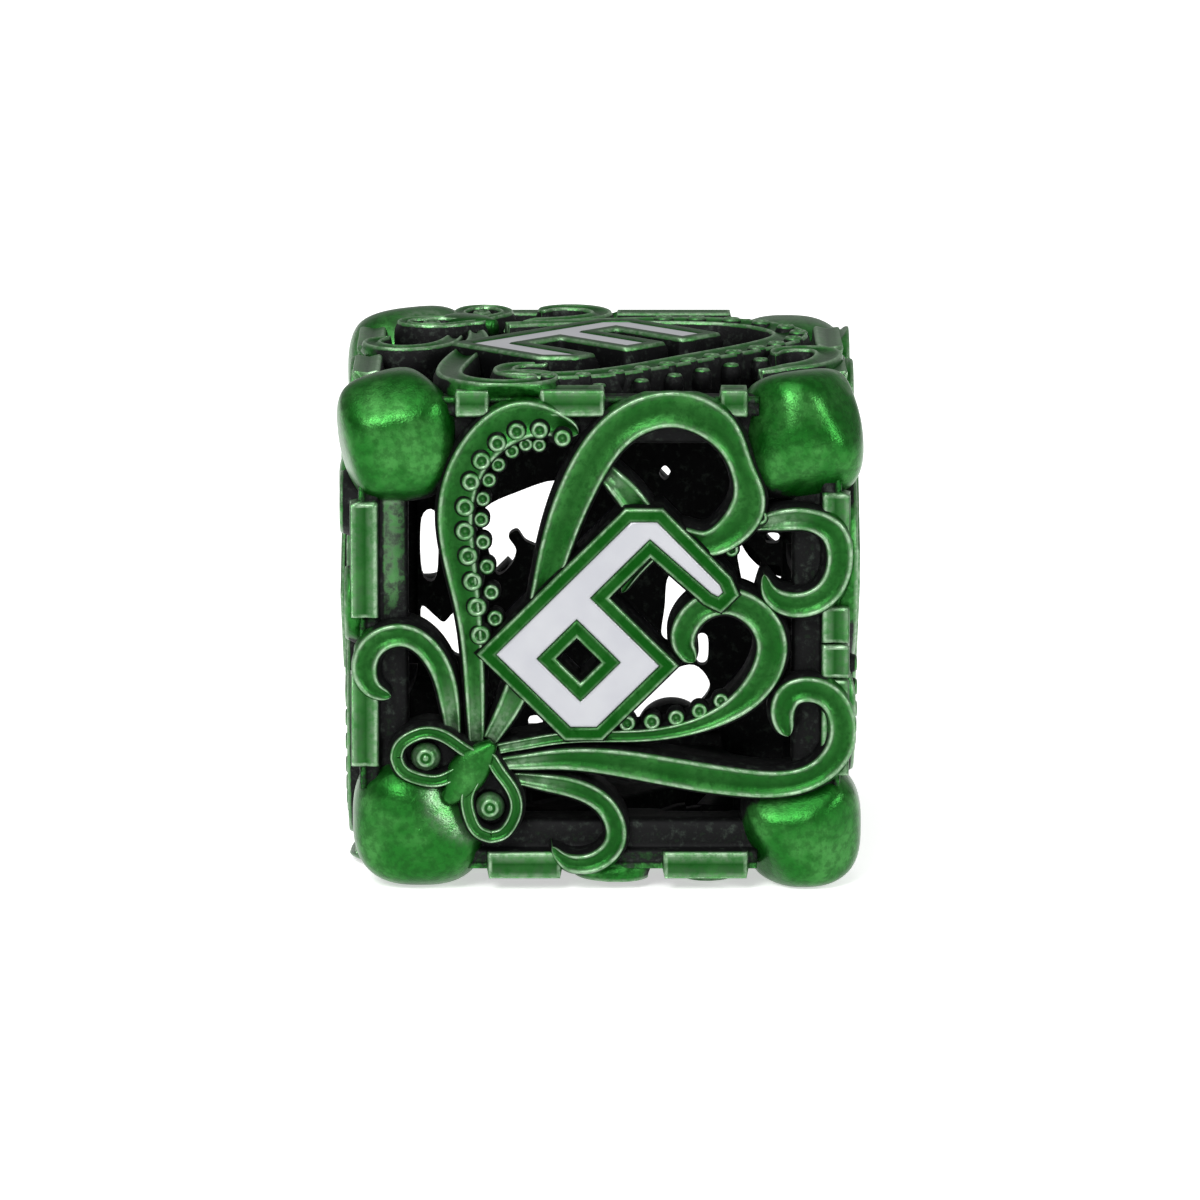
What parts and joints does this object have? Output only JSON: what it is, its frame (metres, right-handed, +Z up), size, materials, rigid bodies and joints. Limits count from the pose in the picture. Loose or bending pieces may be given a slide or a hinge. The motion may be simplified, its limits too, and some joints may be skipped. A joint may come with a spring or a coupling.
{
  "type": "hollow metal die",
  "caption": "Hollow cast-metal six-sided die: a cage of edge rails and rounded corners with an octopus on every face and raised enamel-filled numbers.",
  "frame": {"origin": "centre of the cube", "axes": "+Z up through the 3, -Y front through the 6, +X right through the 5"},
  "size_m": [0.017, 0.017, 0.017],
  "materials": {
    "green_lacquer": "translucent candy-green lacquer over cast metal, dark wash in the recesses, rubbed pale on the edges",
    "plate_lacquer": "deep green gloss lacquer",
    "eye_lacquer": "candy-green lacquer",
    "white_enamel": "smooth cool-white enamel, slightly sunk"
  },
  "bodies": {
    "root": {"back_bottom_rail": "green_lacquer", "back_left_knob": "green_lacquer", "back_left_rail": "green_lacquer", "back_right_rail": "green_lacquer", "back_top_rail": "green_lacquer", "back_web": "green_lacquer", "bottom_front_rail": "green_lacquer", "bottom_left_rail": "green_lacquer", "bottom_right_rail": "green_lacquer", "curled_arms_1": "green_lacquer", "curled_arms_2": "green_lacquer", "curled_arms_3": "green_lacquer", "curled_arms_4": "green_lacquer", "curled_arms_5": "green_lacquer", "curled_arms_6": "green_lacquer", "front_left_rail": "green_lacquer", "front_right_rail": "green_lacquer", "front_top_rail": "green_lacquer", "left_top_rail": "green_lacquer", "number_enamel_1": "white_enamel", "number_enamel_2": "white_enamel", "number_enamel_3": "white_enamel", "number_enamel_4": "white_enamel", "number_enamel_5": "white_enamel", "number_enamel_6": "white_enamel", "number_plate_1": "plate_lacquer", "number_plate_2": "plate_lacquer", "number_plate_3": "plate_lacquer", "number_plate_4": "plate_lacquer", "number_plate_5": "plate_lacquer", "number_plate_6": "plate_lacquer", "octopus_eyes_1": "eye_lacquer", "octopus_eyes_2": "eye_lacquer", "octopus_eyes_3": "eye_lacquer", "octopus_eyes_4": "eye_lacquer", "octopus_eyes_5": "eye_lacquer", "octopus_eyes_6": "eye_lacquer", "octopus_head_1": "green_lacquer", "octopus_head_2": "green_lacquer", "octopus_head_3": "green_lacquer", "octopus_head_4": "green_lacquer", "octopus_head_5": "green_lacquer", "octopus_head_6": "green_lacquer", "right_top_rail": "green_lacquer", "sucker_arms_1": "green_lacquer", "sucker_arms_2": "green_lacquer", "sucker_arms_3": "green_lacquer", "sucker_arms_4": "green_lacquer", "sucker_arms_5": "green_lacquer", "sucker_arms_6": "green_lacquer", "suckers_1": "green_lacquer", "suckers_2": "green_lacquer", "suckers_3": "green_lacquer", "suckers_4": "green_lacquer", "suckers_5": "green_lacquer", "suckers_6": "green_lacquer", "top_right_knob": "green_lacquer"}
  },
  "joints": []
}
